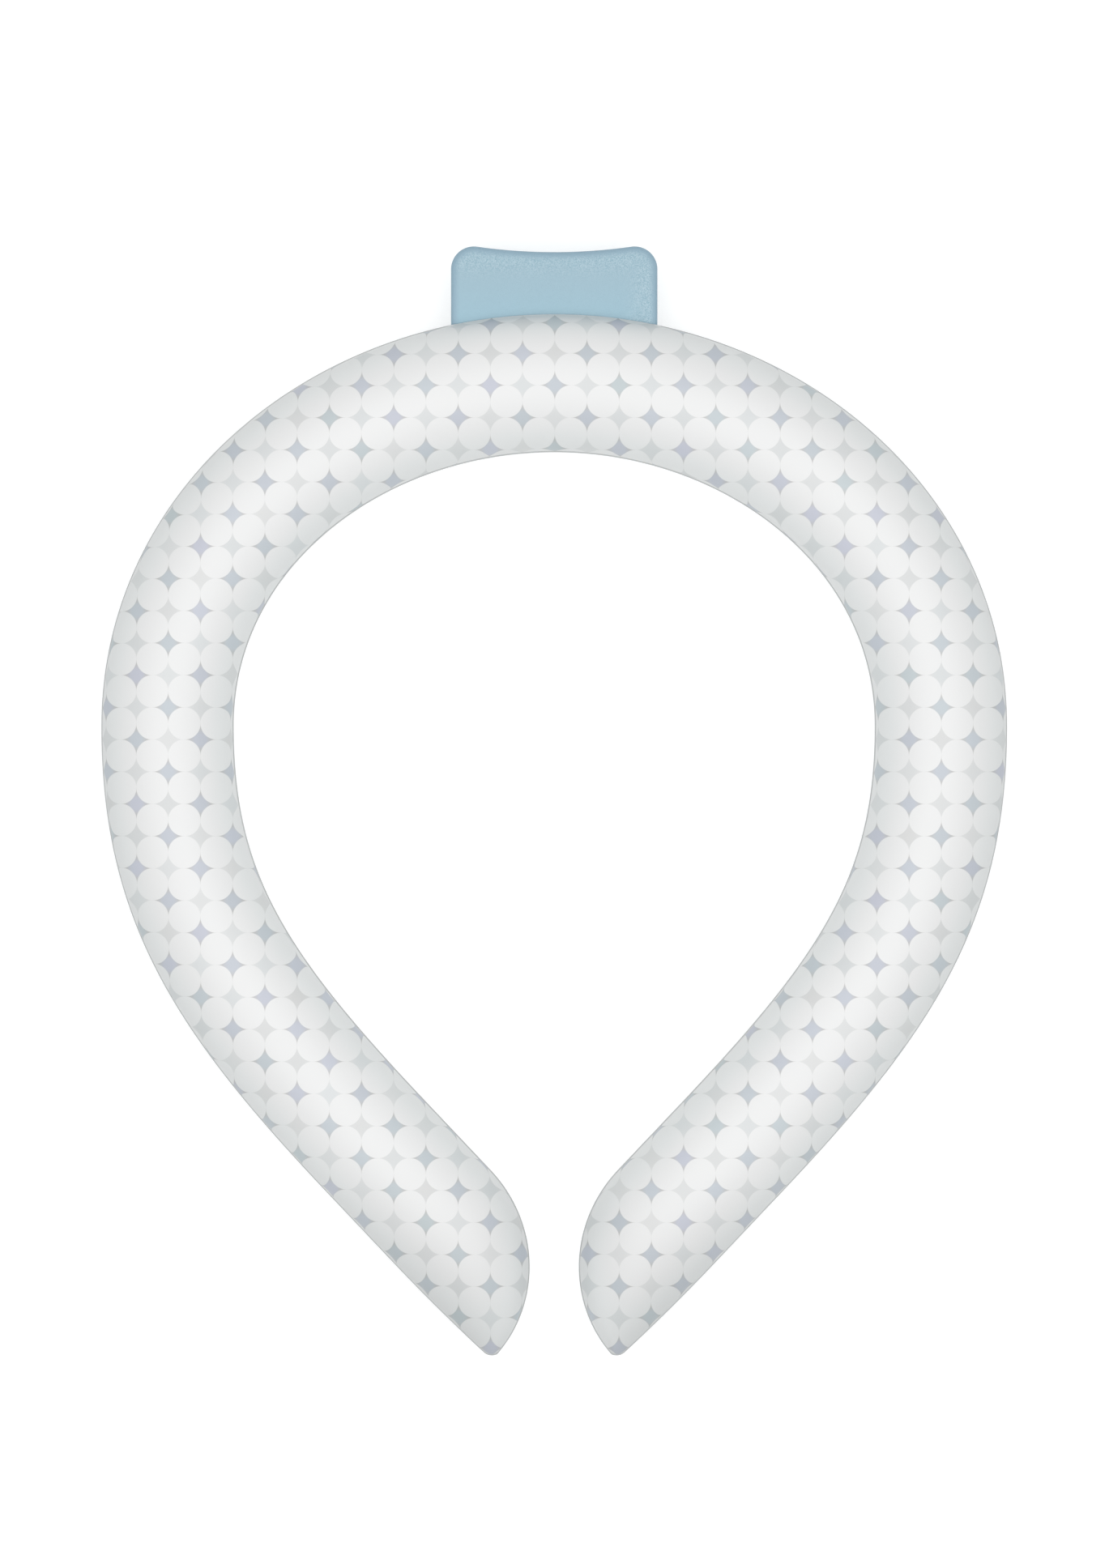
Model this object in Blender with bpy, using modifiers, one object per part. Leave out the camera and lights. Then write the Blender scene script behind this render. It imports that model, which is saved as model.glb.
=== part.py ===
# Cooling neck ring: a soft gel-filled tube bent to a loop that is open at the front,
# with a flat plastic tab set into the back.
# Metres, +Z up. The ring lies flat on the XY plane, with the back of the neck at +Y and the mouth at -Y.
# The origin is on the surface that it lies on, under the middle of its bounding box.
import math

import bmesh
import bpy
import numpy as np

# The tube: its height is the same all along, and only its width in plan changes
TUBE_HEIGHT = 0.0246
BACK_WIDTH = 0.0256
SIDE_WIDTH = 0.0245
LEG_WIDTH = 0.0249

# The tube's centre line in plan, measured from the widest level
HALF_SPAN = 0.0716
BACK_DEPTH = 0.0635
FRONT_DEPTH = 0.0778
LEG_ANGLE = math.radians(46.6)
LEG_STRAIGHT = 0.0179
MOUTH_GAP = 0.0091

# The rounded end of each leg, whose tip is near the outer side
NOSE_LENGTH = 0.0257
TIP_RADIUS = 0.0021
TIP_INSET = 0.0009

# The reach of the centre line's curve handles, as shares of the sizes that they follow
NAPE_REACH = 0.522
SHOULDER_REACH = 0.588
CHEST_REACH = 0.407
LEG_REACH = 0.503

# The tab
TAB_WIDTH = 0.0382
TAB_RISE = 0.0125
TAB_THICKNESS = 0.0026
TAB_CORNER_RADIUS = 0.0042
TAB_TOP_DIP = 0.00105
TAB_EDGE_RADIUS = 0.0007
TAB_SEAT = 0.0034
SEAT_CLEARANCE = 0.0003

# Facets
SIDES_PER_QUARTER = 7
BACK_SECTIONS = 18
FRONT_SECTIONS = 15
NOSE_SECTIONS = 14
CORNER_STEPS = 8
DIP_STEPS = 8
EDGE_STEPS = 2
SMOOTH_ANGLE = math.radians(35.0)
MERGE_DISTANCE = 0.00001

# Looks
SKIN_COLOUR = (0.78, 0.80, 0.81)
SKIN_ROUGHNESS = 0.42
TAB_COLOUR = (0.38, 0.57, 0.65)
TAB_ROUGHNESS = 0.55


def clear_scene():
    for obj in list(bpy.data.objects):
        bpy.data.objects.remove(obj, do_unlink=True)


def make_collection(name):
    collection = bpy.data.collections.new(name)
    bpy.context.scene.collection.children.link(collection)
    return collection


def make_material(name, colour, roughness):
    material = bpy.data.materials.new(name)
    material.use_nodes = True
    shader = material.node_tree.nodes["Principled BSDF"]
    shader.inputs["Base Color"].default_value = (*colour, 1.0)
    shader.inputs["Roughness"].default_value = roughness
    shader.inputs["Metallic"].default_value = 0.0
    return material


def bezier(start, start_handle, end_handle, end, count):
    """Points and unit directions at even steps of a cubic curve's parameter."""
    t = np.linspace(0.0, 1.0, count)[:, None]
    s = 1.0 - t
    points = s**3 * start + 3 * s**2 * t * start_handle + 3 * s * t**2 * end_handle + t**3 * end
    first, middle, last = start_handle - start, end_handle - start_handle, end - end_handle
    slopes = s**2 * first + 2 * s * t * middle + t**2 * last
    return points, slopes / np.linalg.norm(slopes, axis=1)[:, None]


def ease(start, end, count):
    """Values that leave start and reach end without a step in slope."""
    t = np.linspace(0.0, 1.0, count)
    return start + (end - start) * t * t * (3.0 - 2.0 * t)


def outward_of(heading):
    """The direction away from the neck, for the right half followed from the nape to its tip."""
    return np.array([-heading[1], heading[0]])


def leg_top():
    """Where the straight leg starts, placed so that the two noses leave the mouth's gap."""
    along, across = math.cos(LEG_ANGLE), math.sin(LEG_ANGLE)
    nose_reach = math.hypot(NOSE_LENGTH * along, LEG_WIDTH * across)
    x = MOUTH_GAP / 2 + LEG_STRAIGHT * along - LEG_WIDTH / 2 * across + nose_reach
    return np.array([x, -FRONT_DEPTH])


def tube_sections():
    """Sections of the right half, nape to tip: centre, outward direction, width and height of each."""
    nape = np.array([0.0, BACK_DEPTH])
    side = np.array([HALF_SPAN, 0.0])
    leg = leg_top()
    leg_heading = np.array([-math.cos(LEG_ANGLE), -math.sin(LEG_ANGLE)])
    back_points, back_headings = bezier(
        nape,
        nape + (NAPE_REACH * HALF_SPAN, 0.0),
        side + (0.0, SHOULDER_REACH * BACK_DEPTH),
        side,
        BACK_SECTIONS,
    )
    front_points, front_headings = bezier(
        side,
        side - (0.0, CHEST_REACH * FRONT_DEPTH),
        leg - LEG_REACH * FRONT_DEPTH * leg_heading,
        leg,
        FRONT_SECTIONS,
    )
    points = [*back_points, *front_points[1:]]
    headings = [*back_headings, *front_headings[1:]]
    widths = [*ease(BACK_WIDTH, SIDE_WIDTH, BACK_SECTIONS), *ease(SIDE_WIDTH, LEG_WIDTH, FRONT_SECTIONS)[1:]]
    sections = [
        (point, outward_of(heading), width, TUBE_HEIGHT)
        for point, heading, width in zip(points, headings, widths)
    ]
    return sections + nose_sections(leg + LEG_STRAIGHT * leg_heading, leg_heading)


def nose_sections(start, heading):
    """Sections that shrink towards the leg's outer edge: an elliptic inner edge and a small round tip."""
    outward = outward_of(heading)
    sections = []
    for turn in np.linspace(0.0, math.acos((TIP_RADIUS + TIP_INSET) / LEG_WIDTH), NOSE_SECTIONS):
        along = NOSE_LENGTH * math.sin(turn)
        inner = LEG_WIDTH * math.cos(turn)
        into_tip = max(0.0, along - (NOSE_LENGTH - TIP_RADIUS))
        drawn_in = TIP_INSET * (along / NOSE_LENGTH) ** 2
        outer = drawn_in + TIP_RADIUS - math.sqrt(TIP_RADIUS**2 - into_tip**2)
        centre = start + along * heading + (LEG_WIDTH / 2 - (inner + outer) / 2) * outward
        width = inner - outer
        sections.append((centre, outward, width, TUBE_HEIGHT * width / LEG_WIDTH))
    return sections


def outer_edge(sections):
    """The tube's outline in plan, on its outer side."""
    return np.array([centre + width / 2 * outward for centre, outward, width, height in sections])


def tube_back(sections):
    """Y of the tube's outermost point at the back."""
    return outer_edge(sections)[0][1]


def tab_top(sections):
    """Y of the tab's two highest points."""
    return tube_back(sections) + TAB_RISE


def tab_root(sections):
    """Y of the tab's hidden end, a set depth inside the tube's outline at the tab's two sides."""
    back_edge = outer_edge(sections)[:BACK_SECTIONS]
    return np.interp(TAB_WIDTH / 2, back_edge[:, 0], back_edge[:, 1]) - TAB_SEAT


def middle_y(sections):
    """Y of the bounding box's middle, which becomes the origin."""
    lowest = outer_edge(sections)[:, 1].min()
    return (lowest + tab_top(sections)) / 2


def section_ring(section):
    """Points round one section, with a flat facet at its top, bottom, inner and outer side."""
    centre, outward, width, height = section
    sides = 4 * SIDES_PER_QUARTER
    corner = 1.0 / math.cos(math.pi / sides)
    ring = []
    for index in range(sides):
        angle = (index + 0.5) * math.tau / sides
        x, y = centre + width / 2 * corner * math.cos(angle) * outward
        ring.append((x, y, TUBE_HEIGHT / 2 + height / 2 * corner * math.sin(angle)))
    return ring


def make_tube(collection, sections):
    """The right half as a loft that is open at the symmetry plane, mirrored to the whole tube."""
    bm = bmesh.new()
    rings = [[bm.verts.new(point) for point in section_ring(section)] for section in sections]
    for near, far in zip(rings, rings[1:]):
        for index, corner in enumerate(near):
            following = (index + 1) % len(near)
            bm.faces.new((corner, near[following], far[following], far[index]))
    bm.faces.new(rings[-1])
    bmesh.ops.recalc_face_normals(bm, faces=bm.faces)
    mesh = bpy.data.meshes.new("cooling_tube")
    bm.to_mesh(mesh)
    bm.free()
    mesh.shade_smooth()
    mesh.set_sharp_from_angle(angle=SMOOTH_ANGLE)
    mesh.materials.append(make_material("printed_tube_skin", SKIN_COLOUR, SKIN_ROUGHNESS))
    tube = bpy.data.objects.new("cooling_tube", mesh)
    collection.objects.link(tube)
    mirror = tube.modifiers.new("Left half", "MIRROR")
    mirror.use_axis = (True, False, False)
    mirror.merge_threshold = MERGE_DISTANCE
    return tube


def tab_outline(root, top):
    """The tab seen from above: straight sides, two round corners and a shallow dip between them."""
    corner_x = TAB_WIDTH / 2 - TAB_CORNER_RADIUS
    corner_y = top - TAB_CORNER_RADIUS
    centres_apart = (corner_x**2 + TAB_TOP_DIP**2) / (2 * TAB_TOP_DIP)
    dip_radius = centres_apart - TAB_CORNER_RADIUS
    dip_angle = math.asin(corner_x / centres_apart)
    dip_y = top - TAB_TOP_DIP + dip_radius
    right = [(TAB_WIDTH / 2, root)]
    for turn in np.linspace(0.0, math.pi / 2 + dip_angle, CORNER_STEPS + 1):
        x = corner_x + TAB_CORNER_RADIUS * math.cos(turn)
        right.append((x, corner_y + TAB_CORNER_RADIUS * math.sin(turn)))
    for turn in np.linspace(dip_angle, 0.0, DIP_STEPS + 1)[1:-1]:
        right.append((dip_radius * math.sin(turn), dip_y - dip_radius * math.cos(turn)))
    left = [(-x, y) for x, y in reversed(right)]
    return [*right, (0.0, top - TAB_TOP_DIP), *left]


def make_tab_curve(collection, outline):
    """The tab's outline as a filled curve of its full thickness, at the middle of the tube's height."""
    curve = bpy.data.curves.new("tab_outline", "CURVE")
    curve.dimensions = "2D"
    curve.fill_mode = "BOTH"
    curve.extrude = TAB_THICKNESS / 2
    spline = curve.splines.new("POLY")
    spline.points.add(len(outline) - 1)
    for point, (x, y) in zip(spline.points, outline):
        point.co = (x, y, 0.0, 1.0)
    spline.use_cyclic_u = True
    curve_object = bpy.data.objects.new("tab_outline", curve)
    curve_object.location.z = TUBE_HEIGHT / 2
    collection.objects.link(curve_object)
    bpy.context.view_layer.update()
    return curve_object


def curve_to_mesh(name, collection, curve_object):
    """A mesh object in the curve's place, with the curve's loose caps welded on."""
    evaluated = curve_object.evaluated_get(bpy.context.evaluated_depsgraph_get())
    mesh = bpy.data.meshes.new_from_object(evaluated)
    mesh.name = name
    bm = bmesh.new()
    bm.from_mesh(mesh)
    bmesh.ops.remove_doubles(bm, verts=bm.verts, dist=MERGE_DISTANCE)
    bm.to_mesh(mesh)
    bm.free()
    solid = bpy.data.objects.new(name, mesh)
    solid.matrix_world = curve_object.matrix_world
    collection.objects.link(solid)
    bpy.data.objects.remove(curve_object, do_unlink=True)
    return solid


def make_tab(collection, sections):
    outline = tab_outline(tab_root(sections), tab_top(sections))
    tab = curve_to_mesh("back_tab", collection, make_tab_curve(collection, outline))
    tab.data.shade_smooth()
    tab.data.set_sharp_from_angle(angle=SMOOTH_ANGLE)
    tab.data.materials.append(make_material("tab_plastic", TAB_COLOUR, TAB_ROUGHNESS))
    bevel = tab.modifiers.new("Round edges", "BEVEL")
    bevel.width = TAB_EDGE_RADIUS
    bevel.segments = EDGE_STEPS
    bevel.limit_method = "ANGLE"
    bevel.angle_limit = SMOOTH_ANGLE
    return tab


def cut_seat(cutters, tube, sections):
    """The slot in the tube's back that the tab's root sits in."""
    inner_end = tab_root(sections) - SEAT_CLEARANCE
    outer_end = tab_top(sections)
    middle = (inner_end + outer_end) / 2
    bpy.ops.mesh.primitive_cube_add(size=1.0, location=(0.0, middle, TUBE_HEIGHT / 2))
    cutter = bpy.context.object
    cutter.name = "tab_seat_cutter"
    cutter.scale = (TAB_WIDTH + 2 * SEAT_CLEARANCE, outer_end - inner_end, TAB_THICKNESS + 2 * SEAT_CLEARANCE)
    cutter.hide_render = True
    cutter.display_type = "WIRE"
    for default_collection in list(cutter.users_collection):
        default_collection.objects.unlink(cutter)
    cutters.objects.link(cutter)
    seat = tube.modifiers.new("Tab seat", "BOOLEAN")
    seat.operation = "DIFFERENCE"
    seat.solver = "EXACT"
    seat.object = cutter
    return cutter


def main():
    clear_scene()
    parts = make_collection("cooling_neck_ring")
    cutters = make_collection("cutters")
    sections = tube_sections()
    tube = make_tube(parts, sections)
    tab = make_tab(parts, sections)
    cutter = cut_seat(cutters, tube, sections)
    origin = bpy.data.objects.new("ring_origin", None)
    parts.objects.link(origin)
    origin.location.y = -middle_y(sections)
    for obj in (tube, tab, cutter):
        obj.parent = origin


main()
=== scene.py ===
# The looks of the cooling neck ring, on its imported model: a gel-filled tube of printed film with a weld
# line along its inner and outer edge, and a grained plastic tab that the weld holds at the back of the neck.
# Metres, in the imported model's frame: +Z up, the back of the neck at +Y, the mouth at -Y, the floor at Z 0.
import math
from collections import namedtuple

import bmesh
import bpy
import numpy as np
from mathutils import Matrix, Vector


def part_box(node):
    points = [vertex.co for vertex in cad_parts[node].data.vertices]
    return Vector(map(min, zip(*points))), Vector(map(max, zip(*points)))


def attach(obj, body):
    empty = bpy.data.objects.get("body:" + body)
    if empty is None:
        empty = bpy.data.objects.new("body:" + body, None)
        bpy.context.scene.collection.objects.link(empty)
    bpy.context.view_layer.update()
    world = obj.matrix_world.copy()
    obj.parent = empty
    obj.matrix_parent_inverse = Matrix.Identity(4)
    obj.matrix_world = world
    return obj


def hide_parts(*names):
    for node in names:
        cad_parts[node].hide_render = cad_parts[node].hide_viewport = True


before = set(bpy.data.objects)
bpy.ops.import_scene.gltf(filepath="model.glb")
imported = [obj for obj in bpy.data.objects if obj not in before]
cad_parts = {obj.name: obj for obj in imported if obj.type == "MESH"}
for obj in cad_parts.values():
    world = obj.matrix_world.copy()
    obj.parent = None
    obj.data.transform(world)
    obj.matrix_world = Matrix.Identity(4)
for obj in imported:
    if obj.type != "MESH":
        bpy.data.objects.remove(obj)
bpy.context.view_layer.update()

tube_low, tube_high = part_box("cooling_tube")

# The tube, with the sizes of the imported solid
BACK_WIDTH = 0.0256
SIDE_WIDTH = 0.0245
LEG_WIDTH = 0.0249
TUBE_HEIGHT = tube_high.z - tube_low.z
HALF_SPAN = tube_high.x - SIDE_WIDTH / 2
BACK_DEPTH = 0.0635
FRONT_DEPTH = 0.0778
LEG_ANGLE = math.radians(46.6)
LEG_STRAIGHT = 0.0179
MOUTH_GAP = 0.0091
NOSE_LENGTH = 0.0257
TIP_RADIUS = 0.0021
TIP_INSET = 0.0009
NAPE_REACH = 0.522
SHOULDER_REACH = 0.588
CHEST_REACH = 0.407
LEG_REACH = 0.503
MIDDLE_Z = tube_low.z + TUBE_HEIGHT / 2

# The tab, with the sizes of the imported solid, and its softer edge
TAB_WIDTH = 0.0382
TAB_RISE = 0.0125
TAB_THICKNESS = 0.0026
TAB_CORNER_RADIUS = 0.0042
TAB_TOP_DIP = 0.00105
TAB_SEAT = 0.0034
TAB_EDGE_DEPTH = 0.0008
TAB_EDGE_REACH = 0.0016
TAB_RIM_REACH = 0.0030
SEAT_CLEARANCE = 0.0002

# The weld: a fine bead with a crease on each side, and a raised collar round the tab
WELD_HEIGHT = 0.00018
WELD_HALF_WIDTH = 0.00028
WELD_PRINT_EDGE = 0.00080
CREASE_DEPTH = 0.00005
CREASE_OFFSET = 0.00070
COLLAR_HEIGHT = 0.00020
COLLAR_REACH = 0.00060

# Steps of the meshes
BACK_STATIONS = 86
FRONT_STATIONS = 72
LEG_STATIONS = 15
NOSE_STATIONS = 64
NOSE_TRIAL_TURNS = 2000
SLOT_END_STATIONS = 13
SLOT_END_REACH = 0.0015
TIP_END_WIDTH = 0.0002
FINE_ANGLES = 18
FINE_REACH = 0.0032
FINE_CROWDING = 1.5
COARSE_ANGLES = 16
TAB_CORNER_STEPS = 24
TAB_DIP_STEPS = 24
TAB_EDGE_STEPS = 10
SHARP_ANGLE = math.radians(40.0)

# The print: discs in a square pattern, whose gaps are by turns blue-grey and pale
PRINT_REPEAT = 0.005935
PRINT_ORIGIN = (0.00010, 0.08850)
PRINT_FLAT_ANGLE = math.radians(66.0)
PRINT_MAP = "print"
DISC_EDGE = 0.518
DISC_SOFTNESS = 0.030
FILM_WHITE = (0.765, 0.759, 0.757)
LAVENDER_GAP = (0.524, 0.533, 0.605)
TEAL_GAP = (0.507, 0.556, 0.572)
GREY_ARM = (0.518, 0.501, 0.490)
PALE_GAP = (0.657, 0.652, 0.648)
PALE_GAP_COOL = (0.642, 0.656, 0.662)
PALE_ARM = (0.675, 0.672, 0.668)
# The weld line's grey is partly the bare seam and partly painted shade that darkens the outline
WELD_GREY_AND_EDGE_SHADE = (0.500, 0.508, 0.508)
ARM_START = 0.14
ARM_END = 0.42
GAP_SHADE_LOW = 0.97
GAP_SHADE_HIGH = 1.03

# The film's painted shade and light: darker outward and on the outer side of the tips, a little lighter
# inward and on the mouth side of the tips, and a painted cool cast on the tube's sides
PAINTED_TIP_OUTER_SHADE = 0.862
PAINTED_TIP_MOUTH_LIGHT = 1.010
PAINTED_TIP_SHADE_REACH = 0.040
TIP_MOUTH_X = 0.0045
TIP_OUTER_X = 0.0125
OUTWARD_MAP = "outward"
PAINTED_OUTWARD_SHADE = -0.040
WHITE = (1.0, 1.0, 1.0)
PAINTED_SIDE_CAST = (0.978, 0.998, 0.997)
PAINTED_SIDE_CAST_START = 0.0108
PAINTED_SIDE_CAST_END = 0.0068

# The film's surface: a fine grain on slow, very shallow waves
FILM_ROUGHNESS = 0.51
FILM_ROUGHNESS_SPREAD = 0.08
FILM_GRAIN = 0.00045
FILM_GRAIN_DETAIL = 2.0
FILM_GRAIN_SHARE = 0.15
FILM_SWAY = 0.012
FILM_SWAY_DETAIL = 1.0
FILM_RELIEF_DEPTH = 0.00012
FILM_RELIEF_STRENGTH = 0.5

# The tab's plastic: greyer towards its top, darker towards its rounded rim with painted shade, and speckled
# along its top and right side
RIM_MAP = "rim"
RIM_FADE_START = 0.6
RIM_FADE_END = 0.1
TAB_BLUE = (0.296, 0.460, 0.545)
TAB_TOP_BLUE = (0.312, 0.442, 0.517)
# Painted shade: the darker blue of the tab's rounded rim
TAB_RIM_PAINTED_SHADE = (0.264, 0.388, 0.474)
TAB_DARK_SPECK = (0.238, 0.382, 0.460)
TAB_PALE_SPECK = (0.396, 0.528, 0.598)
TAB_GRAIN = 0.00016
SPECKLE_NEAR = 0.0020
SPECKLE_FAR = 0.0072
TAB_ROUGHNESS = 0.55
TAB_GRAIN_DEPTH = 0.00003
TAB_GRAIN_STRENGTH = 0.6

# The photograph's frame, at the level of the tube's middle
PHOTO_HEIGHT_PIXELS = 1936
PIXEL_SIZE = 0.00015
VIEW_CENTRE_X = 0.00005
VIEW_CENTRE_Y = 0.00315
LENS = 300.0
SENSOR = 36.0

# The studio
FLOOR_SIZE = 12.0
FLOOR_WHITE = 0.60
FLOOR_GLOW = 0.48
FLOOR_ROUGHNESS = 0.9
LIGHT_HEIGHT = 4.0
LIGHT_SIZE = 5.6
LIGHT_POWER = 152.0
AMBIENT_LOW = (0.20, 0.23, 0.235)
AMBIENT_HIGH = (0.75, 0.75, 0.75)
AMBIENT_RISE = 2.0
HORIZON_WHITE = (0.84, 0.85, 0.85)
HORIZON_TOP = 0.05

Stations = namedtuple("Stations", "centre outward width height")


def bezier(start, start_handle, end_handle, end, t):
    """Points and unit directions of a cubic curve at the parameters t."""
    t = t[:, None]
    s = 1.0 - t
    points = s**3 * start + 3 * s**2 * t * start_handle + 3 * s * t**2 * end_handle + t**3 * end
    first, middle, last = start_handle - start, end_handle - start_handle, end - end_handle
    slopes = s**2 * first + 2 * s * t * middle + t**2 * last
    return points, slopes / np.linalg.norm(slopes, axis=1)[:, None]


def ease(start, end, t):
    """Values that leave start and reach end without a step in slope."""
    return start + (end - start) * t * t * (3.0 - 2.0 * t)


def outward_of(heading):
    """The directions away from the neck, for the right half followed from the nape to its tip."""
    return np.stack([-heading[:, 1], heading[:, 0]], axis=1)


def leg_top():
    """Where the straight leg starts, placed so that the two noses leave the mouth's gap."""
    along, across = math.cos(LEG_ANGLE), math.sin(LEG_ANGLE)
    nose_reach = math.hypot(NOSE_LENGTH * along, LEG_WIDTH * across)
    x = MOUTH_GAP / 2 + LEG_STRAIGHT * along - LEG_WIDTH / 2 * across + nose_reach
    return np.array([x, -FRONT_DEPTH])


def back_steps(nape, handles, side):
    """Parameters of the back curve, closer together where the tab's slot ends."""
    steps = np.linspace(0.0, 1.0, BACK_STATIONS)
    centre, heading = bezier(nape, *handles, side, steps)
    outer_x = centre[:, 0] + BACK_WIDTH / 2 * outward_of(heading)[:, 0]
    slot_end = TAB_WIDTH / 2 + SEAT_CLEARANCE
    near_slot_end = slot_end + np.linspace(-SLOT_END_REACH, SLOT_END_REACH, SLOT_END_STATIONS)
    return np.unique(np.concatenate([steps, np.interp(near_slot_end, outer_x, steps)]))


def nose(turn):
    """Distance along the leg, and the inner and outer edge measured from the leg's outer edge."""
    along = NOSE_LENGTH * np.sin(turn)
    inner = LEG_WIDTH * np.cos(turn)
    into_tip = np.maximum(0.0, along - (NOSE_LENGTH - TIP_RADIUS))
    drawn_in = TIP_INSET * (along / NOSE_LENGTH) ** 2
    outer = drawn_in + TIP_RADIUS - np.sqrt(np.maximum(0.0, TIP_RADIUS**2 - into_tip**2))
    return along, inner, outer


def nose_turns():
    """Turns from the start of the nose to where its two edges nearly meet."""
    turns = np.linspace(0.0, math.pi / 2, NOSE_TRIAL_TURNS)
    along, inner, outer = nose(turns)
    return np.linspace(0.0, turns[inner - outer > TIP_END_WIDTH][-1], NOSE_STATIONS)


def right_half():
    """Stations of the right half from nape to tip: centre, outward direction, width and height."""
    nape = np.array([0.0, BACK_DEPTH])
    side = np.array([HALF_SPAN, 0.0])
    leg = leg_top()
    leg_heading = np.array([-math.cos(LEG_ANGLE), -math.sin(LEG_ANGLE)])
    back_handles = nape + (NAPE_REACH * HALF_SPAN, 0.0), side + (0.0, SHOULDER_REACH * BACK_DEPTH)
    front_handles = side - (0.0, CHEST_REACH * FRONT_DEPTH), leg - LEG_REACH * FRONT_DEPTH * leg_heading
    back_t = back_steps(nape, back_handles, side)
    front_t = np.linspace(0.0, 1.0, FRONT_STATIONS)[1:]
    back, back_heading = bezier(nape, *back_handles, side, back_t)
    front, front_heading = bezier(side, *front_handles, leg, front_t)
    leg_steps = np.linspace(0.0, LEG_STRAIGHT, LEG_STATIONS)[1:-1]
    straight = leg + leg_steps[:, None] * leg_heading
    along, inner, outer = nose(nose_turns())
    leg_outward = outward_of(leg_heading[None])[0]
    nose_start = leg + LEG_STRAIGHT * leg_heading
    across = LEG_WIDTH / 2 - (inner + outer) / 2
    nose_centre = nose_start + along[:, None] * leg_heading + across[:, None] * leg_outward
    leg_count = len(straight) + len(nose_centre)
    back_widths = ease(BACK_WIDTH, SIDE_WIDTH, back_t)
    front_widths = ease(SIDE_WIDTH, LEG_WIDTH, front_t)
    leg_widths = np.concatenate([np.full(len(straight), LEG_WIDTH), inner - outer])
    return Stations(
        centre=np.concatenate([back, front, straight, nose_centre]),
        outward=np.concatenate([
            outward_of(back_heading), outward_of(front_heading), np.tile(leg_outward, (leg_count, 1)),
        ]),
        width=np.concatenate([back_widths, front_widths, leg_widths]),
        height=np.concatenate([
            np.full(len(back) + len(front), TUBE_HEIGHT), TUBE_HEIGHT * leg_widths / LEG_WIDTH,
        ]),
    )


def outer_edge(path):
    """Points of the tube's outer edge, as seen from above."""
    return path.centre + path.width[:, None] / 2 * path.outward


def whole_path():
    """Stations from the left tip over the nape to the right tip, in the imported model's frame."""
    right = right_half()
    right.centre[:, 1] += tube_low.y - outer_edge(right)[:, 1].min()
    mirrored = (-1.0, 1.0)
    return Stations(
        centre=np.concatenate([(right.centre * mirrored)[:0:-1], right.centre]),
        outward=np.concatenate([(right.outward * mirrored)[:0:-1], right.outward]),
        width=np.concatenate([right.width[:0:-1], right.width]),
        height=np.concatenate([right.height[:0:-1], right.height]),
    )


def section_angles():
    """Angles once round a section from its outer side, close together at the weld on both sides."""
    fine = FINE_REACH * (np.arange(FINE_ANGLES) / FINE_ANGLES) ** FINE_CROWDING / (TUBE_HEIGHT / 2)
    coarse = np.linspace(FINE_REACH / (TUBE_HEIGHT / 2), math.pi / 2, COARSE_ANGLES)
    quarter = np.concatenate([fine, coarse])
    upper = np.concatenate([quarter, math.pi - quarter[-2::-1]])
    return np.concatenate([upper, math.tau - upper[-2:0:-1]])


def round_tube(path, angles):
    """Points of the plain tube, as stations by angles by three coordinates."""
    across = path.width[:, None] / 2 * np.cos(angles)
    plan = path.centre[:, None, :] + across[:, :, None] * path.outward[:, None, :]
    up = MIDDLE_Z + path.height[:, None] / 2 * np.sin(angles)
    return np.concatenate([plan, up[:, :, None]], axis=2)


def surface_normals(points):
    """Outward unit normals of a grid that is closed round its second direction."""
    along = np.gradient(points, axis=0)
    around = np.roll(points, -1, axis=1) - np.roll(points, 1, axis=1)
    normals = np.cross(around, along)
    return normals / np.linalg.norm(normals, axis=2)[:, :, None]


def distance_to_tab(points):
    """Distance in X and Z from the outline of the tab's section."""
    half_width, half_thickness = TAB_WIDTH / 2, TAB_THICKNESS / 2
    x = np.maximum(0.0, np.abs(points[..., 0]) - half_width)
    z = np.maximum(0.0, np.abs(points[..., 2] - MIDDLE_Z) - half_thickness)
    return np.hypot(x, z)


def weld_relief(path, points, normals):
    """How far the film stands out: the bead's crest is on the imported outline, the rest a little inside."""
    from_weld = np.abs(points[..., 2] - MIDDLE_Z)
    bead = WELD_HEIGHT * np.exp(-((from_weld / WELD_HALF_WIDTH) ** 2))
    crease = CREASE_DEPTH * np.exp(-(((from_weld - CREASE_OFFSET) / WELD_HALF_WIDTH) ** 2))
    sideways = 1.0 - normals[..., 2] ** 2
    back_edge = points[..., 1] > np.maximum(0.0, path.centre[:, None, 1])
    collar = COLLAR_HEIGHT * np.exp(-((distance_to_tab(points) / COLLAR_REACH) ** 2)) * back_edge
    return np.maximum(bead, collar) - crease - WELD_HEIGHT * sideways


def print_coordinates(path, angles):
    """The print's coordinates in repeats: flat as seen from above, and easing to true size down the sides."""
    from_edge = np.abs((angles + math.pi / 2) % math.pi - math.pi / 2)
    from_top = math.pi / 2 - from_edge
    side = np.sign(np.cos(angles)).round()
    flat = np.sin(np.minimum(from_top, PRINT_FLAT_ANGLE))
    turned = math.pi / 2 - PRINT_FLAT_ANGLE
    share = np.maximum(0.0, from_top - PRINT_FLAT_ANGLE) / turned
    start_scale = math.cos(PRINT_FLAT_ANGLE)
    rolled = turned * (start_scale * share + (1.0 - start_scale) * (share**3 - share**4 / 2))
    across = path.width[:, None] / 2 * (side * (flat + rolled))
    plan = path.centre[:, None, :] + across[:, :, None] * path.outward[:, None, :]
    return (plan - PRINT_ORIGIN) * (1.0, -1.0) / PRINT_REPEAT


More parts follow.
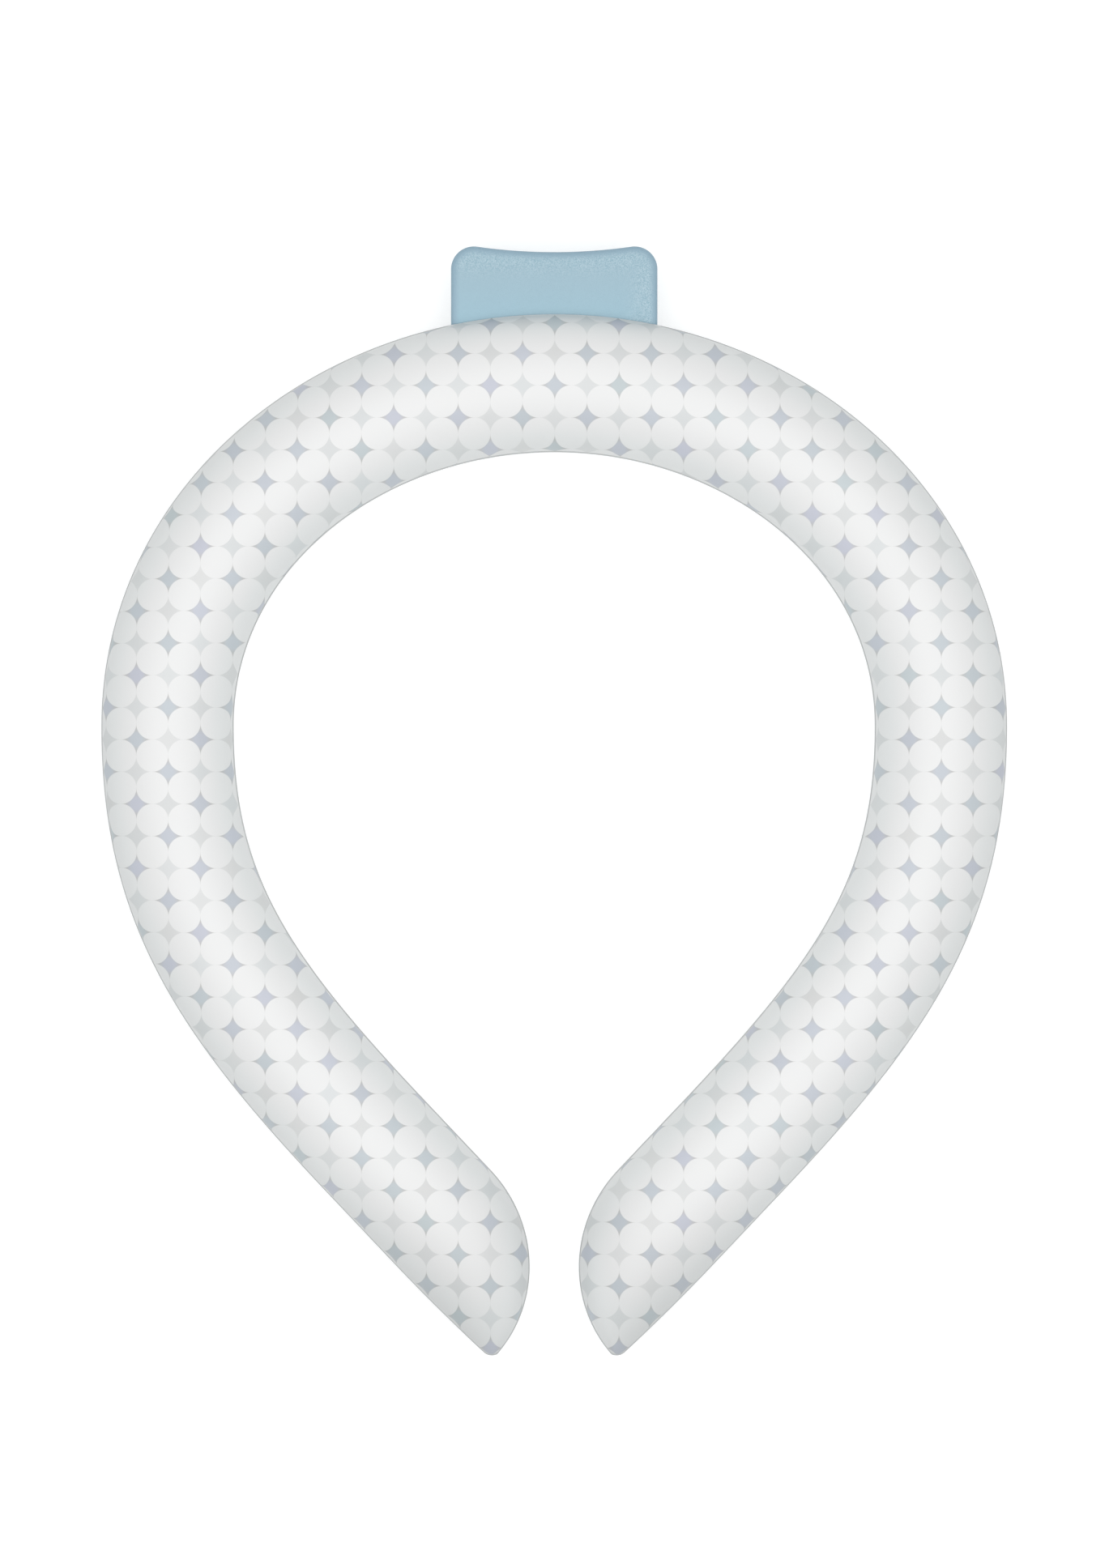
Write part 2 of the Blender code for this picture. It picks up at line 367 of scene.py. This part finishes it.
def make_object(name, vertices, faces, material):
    mesh = bpy.data.meshes.new(name)
    mesh.from_pydata([tuple(vertex) for vertex in vertices], [], faces)
    mesh.update()
    mesh.materials.append(material)
    obj = bpy.data.objects.new(name, mesh)
    bpy.context.scene.collection.objects.link(obj)
    return obj


def closed_grid_faces(rows, columns):
    """Faces of a grid that is closed round its columns and capped on its first and last row."""
    faces = []
    for row in range(rows - 1):
        for column in range(columns):
            following = (column + 1) % columns
            near, far = row * columns, (row + 1) * columns
            faces.append((near + column, near + following, far + following, far + column))
    faces.append(tuple(range(columns))[::-1])
    faces.append(tuple(range((rows - 1) * columns, rows * columns)))
    return faces


def make_tube(material):
    path = whole_path()
    angles = section_angles()
    points = round_tube(path, angles)
    normals = surface_normals(points)
    points = points + weld_relief(path, points, normals)[:, :, None] * normals
    rows, columns = points.shape[:2]
    faces = closed_grid_faces(rows, columns)
    tube = make_object("printed_gel_tube", points.reshape(-1, 3), faces, material)
    layer = tube.data.uv_layers.new(name=PRINT_MAP)
    coordinates = print_coordinates(path, angles).reshape(-1, 2)
    corners = np.empty(len(tube.data.loops), dtype=np.int32)
    tube.data.loops.foreach_get("vertex_index", corners)
    layer.data.foreach_set("uv", coordinates[corners].ravel())
    # The cosine round each section, which drives the painted outward shade and light
    outward = tube.data.attributes.new(OUTWARD_MAP, "FLOAT", "POINT")
    outward.data.foreach_set("value", np.tile(np.cos(angles), rows))
    return tube, path


def tab_ring(inset, z, root, top):
    """The tab's outline drawn in by an inset, at one height."""
    half_width = TAB_WIDTH / 2 - inset
    radius = TAB_CORNER_RADIUS - inset
    corner_x = TAB_WIDTH / 2 - TAB_CORNER_RADIUS
    corner_y = top - TAB_CORNER_RADIUS
    centres_apart = (corner_x**2 + TAB_TOP_DIP**2) / (2 * TAB_TOP_DIP)
    dip_radius = centres_apart - TAB_CORNER_RADIUS
    dip_angle = math.asin(corner_x / centres_apart)
    dip_y = top - TAB_TOP_DIP + dip_radius
    right = [(half_width, root + inset)]
    for turn in np.linspace(0.0, math.pi / 2 + dip_angle, TAB_CORNER_STEPS + 1):
        right.append((corner_x + radius * math.cos(turn), corner_y + radius * math.sin(turn)))
    for turn in np.linspace(dip_angle, 0.0, TAB_DIP_STEPS + 1)[1:-1]:
        reach = dip_radius + inset
        right.append((reach * math.sin(turn), dip_y - reach * math.cos(turn)))
    left = [(-x, y) for x, y in reversed(right)]
    middle = (0.0, top - TAB_TOP_DIP - inset)
    return [(x, y, z) for x, y in [*right, middle, *left]]


def tab_profile(grow):
    """Insets and heights from the lower face round the edge to the upper face, grown by a clearance."""
    flat = TAB_THICKNESS / 2 - TAB_EDGE_DEPTH
    upper = [
        (TAB_EDGE_REACH * (1.0 - math.cos(turn)) - grow, flat + (TAB_EDGE_DEPTH + grow) * math.sin(turn))
        for turn in np.linspace(0.0, math.pi / 2, TAB_EDGE_STEPS + 1)
    ]
    upper.append((TAB_RIM_REACH - grow, TAB_THICKNESS / 2 + grow))
    lower = [(inset, -height) for inset, height in reversed(upper)]
    return lower + upper


def make_tab(name, root, top, grow, material):
    """The tab, or grown by a clearance the cutter of its slot."""
    profile = tab_profile(grow)
    rings = [tab_ring(inset, MIDDLE_Z + height, root, top) for inset, height in profile]
    columns = len(rings[0])
    faces = closed_grid_faces(len(rings), columns)
    tab = make_object(name, [point for ring in rings for point in ring], faces, material)
    rim = tab.data.attributes.new(RIM_MAP, "FLOAT", "POINT")
    from_edge = [max(0.0, inset) / TAB_RIM_REACH for inset, _ in profile]
    rim.data.foreach_set("value", np.repeat(from_edge, columns))
    return tab


def cut_slot(tube, cutter):
    """Cuts the cutter out of the tube's mesh and removes it."""
    slot = tube.modifiers.new("Tab slot", "BOOLEAN")
    slot.operation = "DIFFERENCE"
    slot.solver = "EXACT"
    slot.object = cutter
    bpy.context.view_layer.update()
    evaluated = tube.evaluated_get(bpy.context.evaluated_depsgraph_get())
    plain_mesh = tube.data
    tube.data = bpy.data.meshes.new_from_object(evaluated)
    tube.modifiers.clear()
    bpy.data.meshes.remove(plain_mesh)
    bpy.data.objects.remove(cutter, do_unlink=True)


def smooth(obj):
    """Faces turned outward and shaded smooth, apart from the sharp edges."""
    bm = bmesh.new()
    bm.from_mesh(obj.data)
    bmesh.ops.recalc_face_normals(bm, faces=bm.faces)
    bm.to_mesh(obj.data)
    bm.free()
    obj.data.shade_smooth()
    obj.data.set_sharp_from_angle(angle=SHARP_ANGLE)


def feed(tree, socket, value):
    """Links an output to a socket, or sets the socket to a number or a colour."""
    if isinstance(value, bpy.types.NodeSocket):
        tree.links.new(value, socket)
    elif isinstance(value, tuple):
        socket.default_value = (*value, 1.0) if len(socket.default_value) == 4 else value
    else:
        socket.default_value = value


def calculate(tree, operation, *values):
    node = tree.nodes.new("ShaderNodeMath")
    node.operation = operation
    for socket, value in zip(node.inputs, values):
        feed(tree, socket, value)
    return node.outputs[0]


def length(tree, x, y):
    squares = [calculate(tree, "MULTIPLY", value, value) for value in (x, y)]
    return calculate(tree, "SQRT", calculate(tree, "ADD", *squares))


def separate(tree, node_type, value):
    """The parts of a vector or of a colour."""
    node = tree.nodes.new(node_type)
    tree.links.new(value, node.inputs[0])
    return node.outputs


def fade(tree, value, start, end, low=0.0, high=1.0):
    """A smooth step from low at start to high at end."""
    node = tree.nodes.new("ShaderNodeMapRange")
    node.interpolation_type = "SMOOTHSTEP"
    for socket, number in zip(node.inputs, (value, start, end, low, high)):
        feed(tree, socket, number)
    return node.outputs[0]


def blend(tree, factor, first, second):
    node = tree.nodes.new("ShaderNodeMix")
    node.data_type = "RGBA"
    feed(tree, node.inputs["Factor"], factor)
    colours = [socket for socket in node.inputs if socket.type == "RGBA"]
    feed(tree, colours[0], first)
    feed(tree, colours[1], second)
    return next(socket for socket in node.outputs if socket.type == "RGBA")


def multiply_colour(tree, colour, factor):
    """The colour times a tint, or times one number for its three parts."""
    node = tree.nodes.new("ShaderNodeVectorMath")
    node.operation = "MULTIPLY"
    feed(tree, node.inputs[0], colour)
    feed(tree, node.inputs[1], factor)
    return node.outputs["Vector"]


def noise(tree, vector, size, detail):
    """Noise of about the given grain size in metres, from 0 to 1."""
    node = tree.nodes.new("ShaderNodeTexNoise")
    feed(tree, node.inputs["Vector"], vector)
    node.inputs["Scale"].default_value = 1.0 / size
    node.inputs["Detail"].default_value = detail
    return node.outputs["Fac"]


def flecks(tree, vector, size):
    """A value of its own, from 0 to 1, for each grain of about the given size in metres."""
    node = tree.nodes.new("ShaderNodeTexVoronoi")
    feed(tree, node.inputs["Vector"], vector)
    node.inputs["Scale"].default_value = 1.0 / size
    return separate(tree, "ShaderNodeSeparateColor", node.outputs["Color"])[0]


def bump(tree, height, distance, strength):
    node = tree.nodes.new("ShaderNodeBump")
    node.inputs["Strength"].default_value = strength
    node.inputs["Distance"].default_value = distance
    feed(tree, node.inputs["Height"], height)
    return node.outputs["Normal"]


def new_material(name):
    material = bpy.data.materials.new(name)
    material.use_nodes = True
    tree = material.node_tree
    return material, tree, tree.nodes["Principled BSDF"]


def object_position(tree):
    return tree.nodes.new("ShaderNodeTexCoord").outputs["Object"]


def attribute(tree, name):
    """A value that the mesh holds at its points."""
    node = tree.nodes.new("ShaderNodeAttribute")
    node.attribute_name = name
    return node.outputs["Fac"]


def cell_values(tree, column, row):
    """Two values of its own, from 0 to 1, for each cell of the pattern."""
    pair = tree.nodes.new("ShaderNodeCombineXYZ")
    feed(tree, pair.inputs["X"], column)
    feed(tree, pair.inputs["Y"], row)
    node = tree.nodes.new("ShaderNodeTexWhiteNoise")
    node.noise_dimensions = "2D"
    tree.links.new(pair.outputs[0], node.inputs["Vector"])
    return separate(tree, "ShaderNodeSeparateColor", node.outputs["Color"])[:2]


def disc_print(tree):
    """Colour of the print: touching white discs on gaps that are by turns blue-grey and pale."""
    uv = tree.nodes.new("ShaderNodeUVMap")
    uv.uv_map = PRINT_MAP
    cells, gap_offsets, disc_offsets = [], [], []
    for coordinate in separate(tree, "ShaderNodeSeparateXYZ", uv.outputs["UV"])[:2]:
        shifted = calculate(tree, "ADD", coordinate, 0.5)
        cells.append(calculate(tree, "FLOOR", shifted))
        gap_offsets.append(calculate(tree, "SUBTRACT", calculate(tree, "FRACT", shifted), 0.5))
        disc_offsets.append(calculate(tree, "SUBTRACT", calculate(tree, "FRACT", coordinate), 0.5))
    from_disc = length(tree, *disc_offsets)
    from_gap = length(tree, *gap_offsets)
    disc = fade(tree, from_disc, DISC_EDGE, DISC_EDGE - DISC_SOFTNESS)
    arm = fade(tree, from_gap, ARM_START, ARM_END)
    pale = calculate(tree, "FLOORED_MODULO", calculate(tree, "ADD", *cells), 2.0)
    tint, shade = cell_values(tree, *cells)
    blue_gap = blend(tree, arm, blend(tree, tint, LAVENDER_GAP, TEAL_GAP), GREY_ARM)
    pale_gap = blend(tree, arm, blend(tree, tint, PALE_GAP, PALE_GAP_COOL), PALE_ARM)
    gap = blend(tree, pale, blue_gap, pale_gap)
    shade = calculate(tree, "MULTIPLY_ADD", shade, GAP_SHADE_HIGH - GAP_SHADE_LOW, GAP_SHADE_LOW)
    return blend(tree, disc, multiply_colour(tree, gap, shade), FILM_WHITE)


def painted_tip_shade(tree, x, y):
    """Painted shade and light towards the tips: 1 on most of the tube, less towards the tips on their side
    away from the mouth, and a little more on their mouth side.
    """
    from_mouth = calculate(tree, "ABSOLUTE", x)
    shade = fade(tree, from_mouth, TIP_MOUTH_X, TIP_OUTER_X, PAINTED_TIP_MOUTH_LIGHT, PAINTED_TIP_OUTER_SHADE)
    return fade(tree, y, tube_low.y, tube_low.y + PAINTED_TIP_SHADE_REACH, shade, 1.0)


def painted_outward_shade(tree):
    """Painted shade and light: less than 1 on the tube's outer side, and more than 1 on its inner side."""
    return calculate(tree, "MULTIPLY_ADD", attribute(tree, OUTWARD_MAP), PAINTED_OUTWARD_SHADE, 1.0)


def painted_side_cast(tree, from_middle):
    """A painted cool cast that stands in for cooler light on the sides: white on the upper and the lower
    face, and cool on the sides.
    """
    return blend(tree, fade(tree, from_middle, PAINTED_SIDE_CAST_START, PAINTED_SIDE_CAST_END), WHITE, PAINTED_SIDE_CAST)


def weld_line_and_edge_shade(tree, from_middle, colour):
    """The colour with the print fading to grey at the height of the weld: partly the bare seam, partly
    painted shade that darkens the outline.
    """
    return blend(tree, fade(tree, from_middle, WELD_PRINT_EDGE, WELD_HALF_WIDTH), colour, WELD_GREY_AND_EDGE_SHADE)


def film_material():
    """Satin printed film over gel."""
    material, tree, shader = new_material("printed_tube_skin")
    position = object_position(tree)
    x, y, z = separate(tree, "ShaderNodeSeparateXYZ", position)
    from_middle = calculate(tree, "ABSOLUTE", calculate(tree, "SUBTRACT", z, MIDDLE_Z))
    colour = disc_print(tree)
    # Painted shade and light on the film: darker towards the outer tips and outward, lighter inward, and a
    # painted cool cast on the sides
    for shade in (painted_tip_shade(tree, x, y), painted_side_cast(tree, from_middle), painted_outward_shade(tree)):
        colour = multiply_colour(tree, colour, shade)
    # Grey at the weld: partly the bare seam, partly painted shade of the outline
    colour = weld_line_and_edge_shade(tree, from_middle, colour)
    grain = noise(tree, position, FILM_GRAIN, FILM_GRAIN_DETAIL)
    sway = noise(tree, position, FILM_SWAY, FILM_SWAY_DETAIL)
    tree.links.new(colour, shader.inputs["Base Color"])
    roughness = calculate(tree, "MULTIPLY_ADD", grain, FILM_ROUGHNESS_SPREAD, FILM_ROUGHNESS)
    tree.links.new(roughness, shader.inputs["Roughness"])
    height = calculate(tree, "MULTIPLY_ADD", grain, FILM_GRAIN_SHARE, sway)
    tree.links.new(bump(tree, height, FILM_RELIEF_DEPTH, FILM_RELIEF_STRENGTH), shader.inputs["Normal"])
    return material


def tab_material(root, top):
    """Matt moulded plastic with a fine sandblasted grain, speckled with dark and pale flecks along its top
    and right side, and painted shade towards its rim.
    """
    material, tree, shader = new_material("tab_plastic")
    position = object_position(tree)
    x, y, _ = separate(tree, "ShaderNodeSeparateXYZ", position)
    from_side = calculate(tree, "SUBTRACT", TAB_WIDTH / 2, x)
    from_top = calculate(tree, "SUBTRACT", top, y)
    border = fade(tree, calculate(tree, "MINIMUM", from_side, from_top), SPECKLE_FAR, SPECKLE_NEAR)
    grain = flecks(tree, position, TAB_GRAIN)
    speckle = blend(tree, grain, TAB_DARK_SPECK, TAB_PALE_SPECK)
    body = blend(tree, fade(tree, y, root, top), TAB_BLUE, TAB_TOP_BLUE)
    body = blend(tree, border, body, speckle)
    # Painted shade: darker towards the tab's rounded rim
    rim = fade(tree, attribute(tree, RIM_MAP), RIM_FADE_START, RIM_FADE_END)
    body = blend(tree, rim, body, TAB_RIM_PAINTED_SHADE)
    tree.links.new(body, shader.inputs["Base Color"])
    shader.inputs["Roughness"].default_value = TAB_ROUGHNESS
    tree.links.new(bump(tree, grain, TAB_GRAIN_DEPTH, TAB_GRAIN_STRENGTH), shader.inputs["Normal"])
    return material


def make_floor():
    material, tree, shader = new_material("studio_floor")
    shader.inputs["Base Color"].default_value = (FLOOR_WHITE, FLOOR_WHITE, FLOOR_WHITE, 1.0)
    shader.inputs["Roughness"].default_value = FLOOR_ROUGHNESS
    shader.inputs["Specular IOR Level"].default_value = 0.0
    shader.inputs["Emission Color"].default_value = (*WHITE, 1.0)
    shader.inputs["Emission Strength"].default_value = FLOOR_GLOW
    half = FLOOR_SIZE / 2
    corners = [(-half, -half, 0.0), (half, -half, 0.0), (half, half, 0.0), (-half, half, 0.0)]
    floor = make_object("studio_floor", corners, [(0, 1, 2, 3)], material)


def make_camera():
    camera_data = bpy.data.cameras.new("photo_camera")
    camera_data.lens = LENS
    camera_data.sensor_width = SENSOR
    camera = bpy.data.objects.new("photo_camera", camera_data)
    distance = PHOTO_HEIGHT_PIXELS * PIXEL_SIZE / SENSOR * LENS
    camera.location = (VIEW_CENTRE_X, VIEW_CENTRE_Y, MIDDLE_Z + distance)
    bpy.context.scene.collection.objects.link(camera)
    bpy.context.scene.camera = camera


def make_lights():
    """A soft light straight above, and a pale surround, cooler and dimmer low down, with a white horizon."""
    light_data = bpy.data.lights.new("overhead_softbox", "AREA")
    light_data.shape = "DISK"
    light_data.size = LIGHT_SIZE
    light_data.energy = LIGHT_POWER
    light = bpy.data.objects.new("overhead_softbox", light_data)
    light.location = (0.0, 0.0, LIGHT_HEIGHT)
    bpy.context.scene.collection.objects.link(light)
    world = bpy.data.worlds.new("studio_surround")
    world.use_nodes = True
    bpy.context.scene.world = world
    tree = world.node_tree
    direction = tree.nodes.new("ShaderNodeTexCoord").outputs["Generated"]
    up = separate(tree, "ShaderNodeSeparateXYZ", direction)["Z"]
    height = calculate(tree, "MAXIMUM", up, 0.0)
    rise = calculate(tree, "POWER", height, AMBIENT_RISE)
    sky = blend(tree, rise, AMBIENT_LOW, AMBIENT_HIGH)
    horizon = fade(tree, height, HORIZON_TOP, HORIZON_TOP / 2)
    background = tree.nodes["Background"]
    tree.links.new(blend(tree, horizon, sky, HORIZON_WHITE), background.inputs["Color"])


def tab_root_and_top(path):
    """Y of the tab's root, which the tube hides, and of its top."""
    nape = len(path.centre) // 2
    top = path.centre[nape][1] + BACK_WIDTH / 2 + TAB_RISE
    right_back = outer_edge(path)[nape:nape + BACK_STATIONS]
    root = np.interp(TAB_WIDTH / 2, right_back[:, 0], right_back[:, 1]) - TAB_SEAT
    return root, top


def make_ring():
    film = film_material()
    tube, path = make_tube(film)
    root, top = tab_root_and_top(path)
    cut_slot(tube, make_tab("tab_slot_cutter", root, top, SEAT_CLEARANCE, film))
    tab = make_tab("neck_tab", root, top, 0.0, tab_material(root, top))
    stand_ins = ((tube, "cooling_tube", "printed_tube_skin"), (tab, "back_tab", "tab_plastic"))
    for piece, node, finish in stand_ins:
        smooth(piece)
        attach(piece, "root")
        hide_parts(node)


bpy.context.scene.view_settings.view_transform = "Standard"
make_camera()
make_lights()
make_floor()
make_ring()
